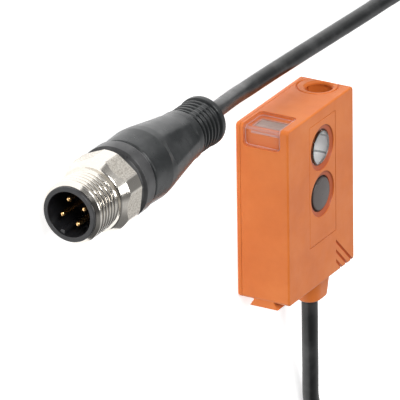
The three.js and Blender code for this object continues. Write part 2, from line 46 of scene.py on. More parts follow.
MM = 0.001
HEAD_SHIFT = 3.25  # the middle of the head lies this far along +Y from the row's origin
HEAD_X = 25.7
HEAD_Y = 36.0
HEAD_Z = 11.3
LEFT, RIGHT = -HEAD_X / 2, HEAD_X / 2
BOTTOM, TOP = -HEAD_Y / 2, HEAD_Y / 2
MID_Z = HEAD_Z / 2
CORNER_R = 0.8
EDGE_R = 0.4
SEAM_EDGE_R = 0.1
WALL = 1.3
FRONT_WALL = 1.8
COVER_T = 1.0
COVER_FIELD_INSET = (2.4, 3)
COVER_FIELD_R = 1.2
COVER_FIELD_DEPTH = 0.12
SEAM = 0.1
COVER_GAP = 0.03
SIDE_RECESS = 0.2
SIDE_BAND_TOP = 1.85
SIDE_BAND_FOOT = 2.6

BOSS_X = 5.2
BOSS_LENGTH = 6.5
BOSS_R = 2.4
BOSS_STRETCH = 1.9
BOSS_FLARE = 1.3
BOSS_BORE_R = 1.9
BOSS_LIP_R = 1.68
BOSS_ROUND = 0.45
FOOT_LENGTH = 9.5
FOOT_HEIGHT = 1.3
FOOT_NECK = 4.4
FOOT_BASE = 6.1
FOOT_SETBACK = 0.15
FOOT_EDGE = 0.14

PANEL_X = (-4.5, 5.6)
PANEL_Y = (-9.1, 15.6)
PANEL_T = 1.0
LENS_X = 0.45
EMITTER_Y = 9.9
RECEIVER_Y = 0.35
LENS_R = 3.3
LENS_DEPTH = 0.15
LENS_DOME = 0.3
LENS_BULGE = 0.25  # from the middle of the face to its rim
LENS_GAP = 0.3
RECESS_DEPTH = 0.45
LENS_FLANGE_R = 3.8
LENS_FIT = 0.02
RECESS_R = 4.475
OPTICS_TOP = HEAD_Z - FRONT_WALL - SEAM
REFLECTOR_FLOOR = 5.0
REFLECTOR_R = (1.8, 3.55)
REFLECTOR_T = 0.4
REFLECTOR_SECTORS = ((-36, 18), (24, 74), (84, 170), (180, 258), (268, 316))  # degrees; own

GROOVE_COUNT = 3
GROOVE_START = (5.6, -11.5)
GROOVE_PITCH = 2.05
GROOVE_W = 0.5  # own
GROOVE_DEPTH = 0.5  # own

WELL_X = 9.4
WELL_R = 3.0
WELL_LIP_R = 2.7  # own
WELL_WALL = 0.9
WELL_LENGTH = 7.4
RIM_R = 4.0  # own
RIM_DEPTH = 0.28  # own
RIM_CENTRE = (9.6, 5.3)
SCREW_TOP = TOP - 5
SCREW_R = 2.7
SCREW_HEIGHT = 2.4
SCREW_HEAD = 1.0
SCREW_GROOVE_R = 2.0
SCREW_STEM_R = 1.0
SCREW_STEM_LENGTH = 2.2
SLOT_LENGTH = 4.4
SLOT_W = 0.7
NOTCH_ANGLES = (75, 215)  # the slots in the well's wall; own
NOTCH_HALF = 0.3
NOTCH_SPAN = (TOP - 4.2, TOP - 0.85)

WINDOW_W = 7.8
WINDOW_ON_TOP = 6.85
WINDOW_ON_FACE = 4.4
WINDOW_T = 0.8
WINDOW_CORNER_R = 0.9
WINDOW_EDGE = 0.16  # own
GUIDE_X = (-10.85, -7.55)
GUIDE_Y = (16.0, 17.05)
GUIDE_Z = (2.95, 8.75)
GUIDE_STEM_Y = 12.4
GUIDE_STEM_Z = (4.2, 8.1)
GUIDE_FLANGE = 0.35  # own, as are the skins and the bar
GUIDE_SKIN = (0.01, 0.07)  # the thin parts' span off the pocket's walls
GUIDE_BAR_Y = (16.1, 16.6)

PLUG_FRONT = (-85.7, 29.0, 7.25)
THREAD_R = 6.0
THREAD_ROOT_R = 5.4  # own
THREAD_PITCH = 1.0
THREAD_FRONT = 0.7
THREAD_END = 6.95  # own
THREAD_ROWS = 128
NUT_BORE_R = 5.1
NUT_R = 7.4
NUT_FLATS = 14.0
NUT_FRONT, NUT_BACK = 7.7, 13.95
NUT_FACE_R = 6.4
NUT_CHAMFER = 1.9
NUT_TURN = -7
RING_FRONT, RING_BACK = 14.2, 18.9
RING_R = 7.2
RING_STEP = 1.2  # the smaller front stretch; own
RING_STEP_DEPTH = 0.8  # own
GRIP_FRONT, GRIP_BACK = 19.1, 48.3
RIB_COUNT = 5
RIB_START = 40.5  # own
RIB_PITCH = 1.18  # own
RIB_ROOT_R = 4.3
# The grip's two wide flats and the bars across its ribbed neck; own.
GRIP_FACET = 30  # degrees from up towards +Y: the middle of a flat
FACET_START, FACET_END = 25.2, 38.6
FACET_REACH = 4.72  # the flat's distance from the axis at FACET_END
FACET_RISE = 1.9  # and how much farther out it is at FACET_START
BRIDGE_ANGLE = 66
BRIDGE_HALF = 9
BRIDGE_R = 4.7
CARRIER_R = 5.0
CARRIER_END = 26.0
LIP_R = 5.3
CAVITY_R = 4.22
CAVITY_DEPTH = 9.0
KEY_ANGLE = -113
KEY_R = 0.62  # own
PIN_ANGLES = (-68, -158, 112, 22)
PIN_CIRCLE_R = 2.45
PIN_R = 0.5
PIN_TIP, PIN_TAIL = 1.3, 11.8
PIN_NOSE = 0.55  # own

CABLE_R = 1.6
CABLE_SIDES = 28  # own
# The CAD's route from the middle of the head, Z up, with both ends run on into their sockets.
CABLE_ROUTE = [
    (5.2, -24.0, 5.65),
    (5.2, -24.8, 5.65),
    (5.5, -29.2, 5.5),
    (6.3, -33.2, 5.05),
    (7.4, -37.0, 4.45),
    (8.8, -41.0, 3.7),
    (10.2, -45.0, 2.9),
    (11.6, -48.8, 2.2),
    (13.8, -53.2, 1.8),
    (17.2, -58.6, 1.65),
    (22.8, -65.0, 1.65),
    (30.0, -70.4, 1.65),
    (38.6, -74.0, 1.65),
    (48.0, -75.2, 1.65),
    (57.2, -73.8, 1.65),
    (65.4, -69.8, 1.65),
    (72.0, -63.4, 1.65),
    (76.8, -55.2, 1.65),
    (79.8, -46.0, 1.65),
    (81.2, -36.0, 1.65),
    (81.4, -25.6, 1.65),
    (80.6, -15.2, 1.65),
    (78.4, -5.2, 1.65),
    (74.6, 4.2, 1.65),
    (69.0, 12.4, 1.65),
    (61.8, 18.6, 1.65),
    (53.6, 21.8, 1.65),
    (45.4, 22.5, 1.65),
    (35.6, 22.8, 1.65),
    (22.6, 23.3, 1.65),
    (9.8, 23.8, 1.65),
    (-2.9, 24.3, 1.7),
    (-12.6, 25.0, 2.3),
    (-18.2, 26.0, 3.3),
    (-23.5, 27.1, 4.6),
    (-27.5, 27.9, 5.6),
    (-31.4, 28.6, 6.5),
    (-34.4, 28.95, 7.1),
    (-37.0, 29.0, 7.25),
    (-38.2, 29.0, 7.25),
]

HEAD_FRAME = Matrix.Translation((0, HEAD_SHIFT, 0))
PLUG_FRAME = HEAD_FRAME @ Matrix.Translation(PLUG_FRONT)

# ---------------------------------------------------------------- camera

VIEW_RIGHT = Vector((0.4843, -0.0085, 0.8748))
VIEW_UP = Vector((0.3562, 0.9152, -0.1883))
VIEW_BACK = Vector((-0.7991, 0.4028, 0.4463))
VIEW_DISTANCE = 1.3  # metres
VIEW_LENS = 616.5
SENSOR_W = 36
AIM_RIGHT, AIM_UP = -0.0181, -0.00173  # metres from the middle of the head to the picture's middle


def make_camera():
    data = bpy.data.cameras.new("camera")
    data.sensor_width = SENSOR_W
    data.lens = VIEW_LENS
    data.clip_start, data.clip_end = 0.05, 20
    camera = bpy.data.objects.new("camera", data)
    bpy.context.scene.collection.objects.link(camera)
    head = Vector((0, HEAD_SHIFT, MID_Z)) * MM
    place = head + VIEW_BACK * VIEW_DISTANCE
    target = head + VIEW_RIGHT * AIM_RIGHT + VIEW_UP * AIM_UP
    back = (place - target).normalized()
    right = VIEW_UP.cross(back).normalized()
    up = back.cross(right)
    turn = Matrix((right, up, back)).transposed().to_4x4()
    camera.matrix_world = Matrix.Translation(place) @ turn
    bpy.context.scene.camera = camera


# ---------------------------------------------------------------- node helpers


class Nodes:
    """A material's node tree, with short calls for the few nodes used here."""

    def __init__(self, name):
        self.material = bpy.data.materials.new(name)
        self.material.use_nodes = True
        self.tree = self.material.node_tree
        self.shader = self.tree.nodes["Principled BSDF"]
        self.place = self.add("ShaderNodeTexCoord").outputs["Object"]

    def add(self, kind, **settings):
        node = self.tree.nodes.new(kind)
        for key, value in settings.items():
            setattr(node, key, value)
        return node

    def link(self, source, target):
        self.tree.links.new(source, target)

    def noise(self, size, detail=3.0, roughness=0.55, stretch=None):
        """Noise whose features are about size metres wide."""
        node = self.add("ShaderNodeTexNoise")
        node.inputs["Scale"].default_value = 1 / size
        node.inputs["Detail"].default_value = detail
        node.inputs["Roughness"].default_value = roughness
        source = self.place
        if stretch:
            mapping = self.add("ShaderNodeMapping")
            mapping.inputs["Scale"].default_value = stretch
            self.link(self.place, mapping.inputs["Vector"])
            source = mapping.outputs["Vector"]
        self.link(source, node.inputs["Vector"])
        return node.outputs["Fac"]

    def ramp(self, source, stops):
        node = self.add("ShaderNodeValToRGB")
        elements = node.color_ramp.elements
        while len(elements) < len(stops):
            elements.new(0.5)
        for element, (position, colour) in zip(elements, stops):
            element.position = position
            element.color = (*colour, 1)
        self.link(source, node.inputs["Fac"])
        return node.outputs["Color"]

    def spread(self, source, low, high, narrow=0.3):
        """Maps the noise's middle stretch to a range."""
        node = self.add("ShaderNodeMapRange")
        node.inputs["From Min"].default_value = narrow
        node.inputs["From Max"].default_value = 1 - narrow
        node.inputs["To Min"].default_value = low
        node.inputs["To Max"].default_value = high
        self.link(source, node.inputs["Value"])
        return node.outputs["Result"]

    def bump(self, source, height, below=None):
        node = self.add("ShaderNodeBump")
        node.inputs["Strength"].default_value = 1
        node.inputs["Distance"].default_value = height
        self.link(source, node.inputs["Height"])
        if below:
            self.link(below, node.inputs["Normal"])
        return node.outputs["Normal"]

    def set(self, **values):
        for key, value in values.items():
            socket = self.shader.inputs[key.replace("_", " ")]
            if isinstance(value, bpy.types.NodeSocket):
                self.link(value, socket)
            else:
                socket.default_value = value
        return self.material


def mix(a, b, share):
    return tuple(x + (y - x) * share for x, y in zip(a, b))


def moulded(name, colour, rough, grain=0.00022, height=0.000004):
    """Moulded plastic: a fine spark-eroded grain, cloudy colour and uneven gloss."""
    n = Nodes(name)
    clouds = n.noise(0.009, 4)
    fine = n.noise(grain, 2)
    dark, light = mix(colour, (0, 0, 0), 0.1), mix(colour, (1, 1, 1), 0.05)
    return n.set(
        Base_Color=n.ramp(clouds, [(0.32, dark), (0.5, colour), (0.7, light)]),
        Roughness=n.spread(n.noise(0.003, 5), rough - 0.05, rough + 0.07),
        Normal=n.bump(fine, height),
    )


def orange_plastic(name, shade=1.0):
    """Saturated orange plastic with pale clouds, faint flow marks and a fine grain.

    A shade below 1 darkens and reddens it into painted shade for the inside of a recess.
    """
    n = Nodes(name)
    clouds = n.noise(0.011, 5, 0.6)
    flow = n.noise(0.004, 3, 0.5, stretch=(1.0, 0.25, 0.6))
    both = n.add("ShaderNodeMath", operation="MULTIPLY_ADD")
    n.link(flow, both.inputs[0])
    both.inputs[1].default_value = 0.35
    n.link(n.spread(clouds, 0.0, 0.65), both.inputs[2])
    stops = (
        (0.25, (0.63, 0.152, 0.022)),
        (0.5, (0.67, 0.170, 0.027)),
        (0.8, (0.71, 0.196, 0.037)),
    )
    base = n.ramp(both.outputs[0], [
        (place, (red * shade, green * shade ** 1.5, blue))
        for place, (red, green, blue) in stops
    ])
    grain = n.bump(n.noise(0.00016, 2), 0.0000035)
    waves = n.bump(n.noise(0.0035, 2), 0.000012, grain)
    return n.set(
        Base_Color=base,
        Roughness=n.spread(n.noise(0.0025, 5), 0.36, 0.5),
        Normal=waves,
        Specular_IOR_Level=0.3,
        Sheen_Weight=0.16,
        Sheen_Roughness=0.45,
    )


def rubbery(name, colour, rough=0.5, gloss=0.5):
    """Soft overmould or cable jacket: near black, satin, with a slight orange peel."""
    n = Nodes(name)
    peel = n.bump(n.noise(0.0009, 2), 0.000008)
    grain = n.bump(n.noise(0.00018, 2), 0.0000035, peel)
    dark, light = mix(colour, (0, 0, 0), 0.25), mix(colour, (1, 1, 1), 0.03)
    return n.set(
        Base_Color=n.ramp(n.noise(0.006, 5), [(0.3, dark), (0.5, colour), (0.72, light)]),
        Roughness=n.spread(n.noise(0.0018, 4), rough - 0.04, rough + 0.06),
        Normal=grain,
        Specular_IOR_Level=gloss,
    )


def metal(name, colour, rough, grain=0.0004, height=0.0000015, speckle=0.0):
    """Plated metal. speckle darkens grains for a blasted face."""
    n = Nodes(name)
    fine = n.noise(grain, 3, 0.6)
    dull = mix(colour, (0.25, 0.21, 0.17), speckle)
    bright = mix(colour, (1, 1, 1), 0.3)
    return n.set(
        Base_Color=n.ramp(fine, [(0.36, dull), (0.56, colour), (0.75, bright)]),
        Roughness=n.spread(n.noise(grain * 3, 4), rough * 0.75, rough * 1.4),
        Normal=n.bump(fine, height),
        Metallic=1.0,
    )


def clear_plastic(name, colour, alpha, rough):
    """Thin clear plastic with a faint haze. Light passes straight through it."""
    n = Nodes(name)
    dark = mix(colour, (0, 0, 0), 0.12)
    return n.set(
        Base_Color=n.ramp(n.noise(0.004, 3), [(0.35, dark), (0.65, colour)]),
        Roughness=n.spread(n.noise(0.0015, 3), rough, rough + 0.06),
        Normal=n.bump(n.noise(0.002, 2), 0.000006),
        Alpha=alpha,
        Specular_IOR_Level=0.9,
    )


def lens_plastic(name, colour):
    """Clear moulded lens material."""
    n = Nodes(name)
    dark = mix(colour, (0, 0, 0), 0.06)
    return n.set(
        Base_Color=n.ramp(n.noise(0.003, 2), [(0.3, dark), (0.7, colour)]),
        Roughness=n.spread(n.noise(0.001, 3), 0.0, 0.03),
        Normal=n.bump(n.noise(0.0016, 2), 0.000004),
        Transmission_Weight=1.0,
        IOR=1.49,
    )


def circuit_laminate(name):
    """Green board with a fine glass weave."""
    n = Nodes(name)
    weave = n.add("ShaderNodeTexBrick")
    weave.inputs["Scale"].default_value = 900
    weave.inputs["Color1"].default_value = (0.012, 0.10, 0.045, 1)
    weave.inputs["Color2"].default_value = (0.016, 0.13, 0.06, 1)
    weave.inputs["Mortar"].default_value = (0.02, 0.16, 0.075, 1)
    n.link(n.place, weave.inputs["Vector"])
    return n.set(
        Base_Color=weave.outputs["Color"],
        Roughness=n.spread(n.noise(0.001, 3), 0.3, 0.45),
        Normal=n.bump(n.noise(0.0004, 2), 0.000005),
    )


FINISH = {
    "orange_plastic": orange_plastic("orange_plastic"),
    # a darker, redder copy of the orange: painted shade for the lens funnels
    "orange_recess_painted_shade": orange_plastic("orange_recess_painted_shade", 0.66),
    "clear_window": clear_plastic("clear_window", (0.86, 0.42, 0.30), 0.05, 0.12),
    # pale, more opaque clear plastic: painted highlight on the broken edges and outlines of the
    # clear parts
    "clear_edge_painted_highlight": clear_plastic("clear_edge_painted_highlight", (0.80, 0.46, 0.40), 0.5, 0.3),
    "guide": clear_plastic("guide", (0.42, 0.35, 0.32), 0.85, 0.3),
    "clear_lens": lens_plastic("clear_lens", (0.97, 0.97, 0.97)),
    "smoked_lens": moulded("smoked_lens", (0.085, 0.070, 0.066), 0.3, 0.0012, 0.000006),
    "black_plastic": moulded("black_plastic", (0.014, 0.014, 0.0155), 0.3),
    "mirror_metal": metal("mirror_metal", (0.98, 0.98, 0.98), 0.5, 0.0009, 0.00002),
    "chip_package": moulded("chip_package", (0.02, 0.02, 0.021), 0.5),
    "board_laminate": circuit_laminate("board_laminate"),
    "ceramic": moulded("ceramic", (0.42, 0.27, 0.15), 0.35),
    "white_plastic": moulded("white_plastic", (0.74, 0.72, 0.68), 0.35),
    "led_yellow": moulded("led_yellow", (0.75, 0.55, 0.08), 0.25),
    "led_green": moulded("led_green", (0.20, 0.60, 0.18), 0.25),
    "black_rubber": rubbery("black_rubber", (0.019, 0.021, 0.022), 0.3, 0.38),
    "cable_jacket": rubbery("cable_jacket", (0.012, 0.013, 0.0135), 0.32, 0.36),
    "plated_steel": metal("plated_steel", (0.62, 0.60, 0.57), 0.3),
    "wire_brown": rubbery("wire_brown", (0.16, 0.06, 0.025)),
    "wire_white": rubbery("wire_white", (0.75, 0.74, 0.70)),
    "wire_blue": rubbery("wire_blue", (0.03, 0.09, 0.42)),
    "wire_black": rubbery("wire_black", (0.02, 0.02, 0.02)),
    "nickel_plate": metal("nickel_plate", (0.69, 0.655, 0.60), 0.13),
    "nickel_blasted": metal(
        "nickel_blasted", (0.74, 0.70, 0.63), 0.36, 0.00028, 0.000018, speckle=0.55),
    "gold_plate": metal("gold_plate", (0.95, 0.60, 0.26), 0.2),
}

# ---------------------------------------------------------------- mesh helpers


def to_object(bm, name):
    bmesh.ops.recalc_face_normals(bm, faces=bm.faces)
    mesh = bpy.data.meshes.new(name)
    bm.to_mesh(mesh)
    bm.free()
    obj = bpy.data.objects.new(name, mesh)
    bpy.context.scene.collection.objects.link(obj)
    return obj


def from_object(obj):
    """The evaluated mesh of a scratch object, which is then removed."""
    shown = obj.evaluated_get(bpy.context.evaluated_depsgraph_get())
    mesh = bpy.data.meshes.new_from_object(shown)
    bm = bmesh.new()
    bm.from_mesh(mesh)
    bpy.data.meshes.remove(mesh)
    bpy.data.objects.remove(obj)
    return bm


def combine(bm, tools, operation):
    """Joins to, cuts from or intersects a body with each tool in turn."""
    for tool in tools:
        body, other = to_object(bm, "scratch"), to_object(tool, "scratch_tool")
        modifier = body.modifiers.new("combine", "BOOLEAN")
        modifier.operation = operation
        modifier.solver = "EXACT"
        modifier.object = other
        bm = from_object(body)
        bpy.data.objects.remove(other)
    return bm


# The three below use up every body that they are given.


def cut(bm, *tools):
    return combine(bm, tools, "DIFFERENCE")


def join(bm, *tools):
    return combine(bm, tools, "UNION")


def overlap(bm, *tools):
    return combine(bm, tools, "INTERSECT")


def loft(rings):
    """A closed body through rings of equal count, capped at both ends."""
    bm = bmesh.new()
    made = [[bm.verts.new(point) for point in ring] for ring in rings]
    for low, high in zip(made, made[1:]):
        for i in range(len(low)):
            j = (i + 1) % len(low)
            bm.faces.new((low[i], low[j], high[j], high[i]))
    bm.faces.new(reversed(made[0]))
    bm.faces.new(made[-1])
    return bm


def revolve(columns, closed=False):
    """Columns of points round an axis, joined side by side. Points that meet merge."""
    bm = bmesh.new()
    made = [[bm.verts.new(point) for point in column] for column in columns]
    rows = len(made[0])
    for k, column in enumerate(made):
        after = made[(k + 1) % len(made)]
        for i in range(rows if closed else rows - 1):
            j = (i + 1) % rows
            bm.faces.new((column[i], column[j], after[j], after[i]))
    bmesh.ops.remove_doubles(bm, verts=bm.verts, dist=1e-5)
    return bm


def rounded(points, radius, closed=False, steps=3):
    """A 2-D outline with each corner softened."""
    count = len(points)
    made = []
    for i, point in enumerate(points):
        if not closed and i in (0, count - 1):
            made.append(tuple(point))
            continue
        here = Vector(point)
        before, after = Vector(points[i - 1]), Vector(points[(i + 1) % count])
        reach = min(radius, 0.45 * (before - here).length, 0.45 * (after - here).length)
        start = here + (before - here).normalized() * reach
        end = here + (after - here).normalized() * reach
        for k in range(steps + 1):
            t = k / steps
            made.append(tuple(start * (1 - t) ** 2 + here * 2 * t * (1 - t) + end * t * t))
    return made


def rounded_rectangle(u, v, radius, steps=8):
    """An outline in the plane of u and v, with steps in each corner."""
    corners = (
        (u[1] - radius, v[0] + radius, -90),
        (u[1] - radius, v[1] - radius, 0),
        (u[0] + radius, v[1] - radius, 90),
        (u[0] + radius, v[0] + radius, 180),
    )
    made = []
    for centre_u, centre_v, start in corners:
        for i in range(steps + 1):
            angle = math.radians(start + 90 * i / steps)
            made.append((
                centre_u + radius * math.cos(angle),
                centre_v + radius * math.sin(angle),
            ))
    return made


def along(axis, distance, u, v):
    """A point at a distance along an axis; u and v are the next two axes in the order X, Y, Z."""
    return {"x": (distance, u, v), "y": (v, distance, u), "z": (u, v, distance)}[axis]


def prism(outline, axis, low, high):
    return loft([[along(axis, d, u, v) for u, v in outline] for d in (low, high)])


def block(x, y, z, bevel=0.0):
    bm = prism([(x[0], y[0]), (x[1], y[0]), (x[1], y[1]), (x[0], y[1])], "z", *z)
    return softened(bm, bevel) if bevel else bm


def softened(bm, radius):
    """Rounds every edge of a simple body."""
    bmesh.ops.recalc_face_normals(bm, faces=bm.faces)
    bmesh.ops.bevel(
        bm,
        geom=list(bm.edges),
        offset=radius,
        segments=2,
        profile=0.5,
        affect="EDGES",
        clamp_overlap=True,
    )
    return bm


def turned(profile, axis, centre, segments=64, closed=False):
    """A turned body from (distance along the axis, radius) points."""
    columns = []
    for k in range(segments):
        angle = 2 * math.pi * k / segments
        column = []
        for distance, radius in profile:
            point = along(axis, distance, radius * math.cos(angle), radius * math.sin(angle))
            column.append(Vector(point) + Vector(centre))
        columns.append(column)
    return revolve(columns, closed)


def plate(x, y, z, corner, low_edge, high_edge, steps=5):
    """A plate with rounded corners and quarter-round upper and lower edges."""
    rings = [(z[0] + low_edge * (1 - math.cos(a)), low_edge * (1 - math.sin(a)))
             for a in (math.pi / 2 * k / steps for k in range(steps + 1))]
    rings += [(z[1] - high_edge * (1 - math.sin(a)), high_edge * (1 - math.cos(a)))
              for a in (math.pi / 2 * k / steps for k in range(steps + 1))]
    made = []
    for height, inset in rings:
        inset_x = (x[0] + inset, x[1] - inset)
        inset_y = (y[0] + inset, y[1] - inset)
        outline = rounded_rectangle(inset_x, inset_y, corner - inset)
        made.append([(u, v, height) for u, v in outline])
    return loft(made)


def piece(name, bm, finish, body, nodes, slot=None, place=HEAD_FRAME, angle=32):
    """Turns a body in millimetres into a piece in the row frame that stands for CAD nodes.

    With several finishes, the faces' own material numbers choose between them. The slot argument is
    not used.
    """
    slot = slot or finish
    bmesh.ops.transform(bm, matrix=Matrix.Scale(MM, 4) @ place, verts=bm.verts)
    obj = to_object(bm, name)
    for one in (finish if isinstance(finish, (list, tuple)) else [finish]):
        obj.data.materials.append(FINISH[one])
    obj.data.shade_smooth()
    obj.data.set_sharp_from_angle(angle=math.radians(angle))
    modifier = obj.modifiers.new("even_shading", "WEIGHTED_NORMAL")
    modifier.keep_sharp = True
    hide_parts(*nodes)
    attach(obj, body)
    return obj


# ---------------------------------------------------------------- housing


def window_body(margin, thickness, proud):
    """The L of the status window, with rounded corners on both faces."""
    z = (MID_Z - WINDOW_W / 2 - margin, MID_Z + WINDOW_W / 2 + margin)
    radius = WINDOW_CORNER_R + margin * 0.5
    x_end = LEFT + WINDOW_ON_TOP + margin
    y_end = TOP - WINDOW_ON_FACE - margin
    on_top = prism(
        rounded_rectangle(z, (LEFT - 3, x_end), radius), "y", TOP - thickness, TOP + proud)
    on_face = prism(
        rounded_rectangle((y_end, TOP + 3), z, radius), "x", LEFT - proud, LEFT + thickness)
    corner = block(
        (LEFT - proud, LEFT + thickness + 0.3), (TOP - thickness - 0.3, TOP + proud), z)
    limits = block((LEFT - proud, 0), (0, TOP + proud), (0, HEAD_Z))
    return overlap(join(on_top, on_face, corner), limits)


def status_window():
    """Clear L-shaped window; its side faces and their broken edges get the pale finish, a painted
    highlight.
    """
    limits = plate((LEFT, RIGHT), (BOTTOM, TOP), (0, HEAD_Z), CORNER_R, 0.1, EDGE_R)
    bm = overlap(window_body(0, WINDOW_T, 1), limits)
    bmesh.ops.dissolve_limit(bm, angle_limit=math.radians(1), verts=bm.verts, edges=bm.edges)
    bmesh.ops.recalc_face_normals(bm, faces=bm.faces)
    rims = [edge for edge in bm.edges if edge.calc_face_angle(0) > math.radians(50)]
    made = bmesh.ops.bevel(
        bm,
        geom=rims,
        offset=WINDOW_EDGE,
        segments=1,
        profile=0.5,
        affect="EDGES",
        clamp_overlap=True,
    )
    # the bevelled rims get the pale finish: painted highlight
    for face in made["faces"]:
        face.material_index = 1
    return bm


def boss_body():
    """Oval spout that widens towards the head, with a rounded end."""
    middle = BOSS_X + BOSS_STRETCH / 2
    end, root = BOTTOM - BOSS_LENGTH, BOTTOM + WALL / 2
    levels = [(end + BOSS_ROUND * (1 - math.cos(a)), BOSS_ROUND * (1 - math.sin(a)))
              for a in (math.pi / 2 * k / 5 for k in range(6))]
    levels.append((root, 0))
    rings = []
    for y, inset in levels:
        grow = 1 + (BOSS_FLARE - 1) * (y - end) / (root - end)
        half = BOSS_R * grow - inset
        reach = BOSS_STRETCH / 2 * grow
        height = (MID_Z - half, MID_Z + half)
        width = (middle - reach - half, middle + reach + half)
        outline = rounded_rectangle(height, width, half - 1e-3, 10)
        rings.append([(x, y, z) for z, x in outline])
    return loft(rings)


def foot_body():
    """Dovetail foot with broken edges."""
    top, neck = BOTTOM + WALL / 2, BOTTOM
    base = neck - FOOT_HEIGHT
    half_neck, half_base = FOOT_NECK / 2, FOOT_BASE / 2
    outline = [
        (top, MID_Z - half_neck),
        (neck, MID_Z - half_neck),
        (base, MID_Z - half_base),
        (base, MID_Z + half_base),
        (neck, MID_Z + half_neck),
        (top, MID_Z + half_neck),
    ]
    start = LEFT + FOOT_SETBACK
    return softened(prism(outline, "x", start, start + FOOT_LENGTH), FOOT_EDGE)


def groove_body(number):
    """A slanted trough with sloping sides, from its start to past the lower edge."""
    x, top = GROOVE_START
    y = top - number * GROOVE_PITCH
    reach = y - BOTTOM + 2
    rings = []
    for z, width in ((HEAD_Z - GROOVE_DEPTH, GROOVE_W * 0.45), (HEAD_Z + 0.2, GROOVE_W * 1.4)):
        half = width / math.sqrt(2)
        rings.append([
            (x, y - half, z),
            (x + reach, y - half - reach, z),
            (x + reach, y + half - reach, z),
            (x, y + half, z),
        ])
    return loft(rings)


def well_notch(degrees):
    """A narrow slot down the wall of the adjuster well."""
    reach = (WELL_R - NOTCH_HALF, WELL_R + NOTCH_HALF)
    bm = block(reach, NOTCH_SPAN, (-NOTCH_HALF, NOTCH_HALF))
    turn = Matrix.Rotation(math.radians(degrees), 4, "Y")
    bmesh.ops.transform(
        bm, matrix=Matrix.Translation((WELL_X, 0, MID_Z)) @ turn, verts=bm.verts)
    return bm


def grown(span, by=SEAM):
    return (span[0] - by, span[1] + by)


def light_guide():
    """Frosted guide. A thin flange on the window's floor and a bar in front get the pale finish,
    painted highlight lines.
    """
    head = join(
        block(GUIDE_X, GUIDE_Y, GUIDE_Z),
        block(GUIDE_X, (GUIDE_STEM_Y, GUIDE_Y[0] + 0.1), GUIDE_STEM_Z))
    floor_y = TOP - WINDOW_T - SEAM
    near, far = GUIDE_SKIN
    wide = rounded_rectangle(grown(GUIDE_Z, GUIDE_FLANGE), grown(GUIDE_X, GUIDE_FLANGE), 0.4)
    flange = cut(
        prism(wide, "y", floor_y + near, floor_y + far),
        prism(rounded_rectangle(GUIDE_Z, GUIDE_X, 0.2), "y", floor_y - 1, floor_y + 1))
    front_x = LEFT + WINDOW_T + SEAM
    bar = block((front_x - far, front_x - near), GUIDE_BAR_Y, (GUIDE_Z[0], GUIDE_Z[1] + 0.2))
    # the flange and the bar carry the pale finish as painted highlight; the bar is a thin sheet for
    # the pale line at the guide's bend
    for body in (flange, bar):
        for face in body.faces:
            face.material_index = 1
        mesh = bpy.data.meshes.new("part")
        body.to_mesh(mesh)
        body.free()
        head.from_mesh(mesh)
        bpy.data.meshes.remove(mesh)
    return head


def housing_shell():
    """Box open at the back, with spout, foot, slanted grooves, adjuster well and window pocket.

    Known fault: near the end face, the well's tube stands up to 0.45 past the right-hand side.
    """
    x, y = (LEFT, RIGHT), (BOTTOM, TOP)
    z0 = COVER_T + COVER_GAP
    ceiling = HEAD_Z - FRONT_WALL
    outer = plate(x, y, (z0, HEAD_Z), CORNER_R, SEAM_EDGE_R, EDGE_R)
    inner = block((x[0] + WALL, x[1] - WALL), (y[0] + WALL, y[1] - WALL), (z0 - 1, ceiling))
    axis = (WELL_X, 0, MID_Z)
    tube_end = TOP - WALL / 2
    tube = turned([
        (TOP - WELL_LENGTH, 0),
        (TOP - WELL_LENGTH, WELL_R + WELL_WALL),
        (tube_end, WELL_R + WELL_WALL),
        (tube_end, 0),
    ], "y", axis)
    walls = join(cut(outer, inner), tube, boss_body(), foot_body())
    recess = block(
        (RIGHT - SIDE_RECESS, RIGHT + 1),
        (BOTTOM + SIDE_BAND_FOOT, TOP - SIDE_BAND_TOP),
        (0, HEAD_Z + 1),
    )
    seat = prism(
        rounded_rectangle(grown(PANEL_X), grown(PANEL_Y), 0.25, 3),
        "z", HEAD_Z - PANEL_T - SEAM, HEAD_Z + 1)
    lens_holes = [
        turned([(ceiling - 1, 0), (ceiling - 1, LENS_FLANGE_R + SEAM),
                (HEAD_Z, LENS_FLANGE_R + SEAM), (HEAD_Z, 0)], "z", (LENS_X, lens_y, 0))
        for lens_y in (EMITTER_Y, RECEIVER_Y)
    ]
    floor = TOP - RIM_DEPTH
    bore = turned([
        (0, 0),
        (0, WELL_R),
        (TOP - 0.9, WELL_R),
        (TOP - 0.75, WELL_LIP_R),
        (TOP - 0.42, WELL_LIP_R),
        (TOP - 0.18, WELL_LIP_R + 0.07),
        (TOP - 0.05, WELL_LIP_R + 0.2),
        (TOP + 0.01, WELL_LIP_R + 0.42),
        (TOP + 1, WELL_LIP_R + 0.42),
        (TOP + 1, 0),
    ], "y", axis, 96)
    rim = turned([
        (floor, RIM_R - 0.08),
        (floor, RIM_R + 0.04),
        (TOP + 0.1, RIM_R + 0.24),
        (TOP + 0.1, RIM_R - 0.28),
    ], "y", (RIM_CENTRE[0], 0, RIM_CENTRE[1]), 96, closed=True)
    end = BOTTOM - BOSS_LENGTH
    cable_bore = turned([
        (end - 1, 0),
        (end - 1, BOSS_LIP_R + 0.2),
        (end, BOSS_LIP_R + 0.12),
        (end + 0.15, BOSS_LIP_R),
        (end + 0.6, BOSS_LIP_R),
        (end + 0.6, BOSS_BORE_R),
        (BOTTOM + WALL + 1, BOSS_BORE_R),
        (BOTTOM + WALL + 1, 0),
    ], "y", (BOSS_X, 0, MID_Z))
    return cut(
        walls,
        recess,
        seat,
        *lens_holes,
        *[groove_body(number) for number in range(GROOVE_COUNT)],
        bore,
        rim,
        *[well_notch(degrees) for degrees in NOTCH_ANGLES],
        window_body(SEAM, WINDOW_T + SEAM, 1),
        block(grown(GUIDE_X), (GUIDE_Y[0] - 0.5, TOP), grown(GUIDE_Z)),
        cable_bore,
    )


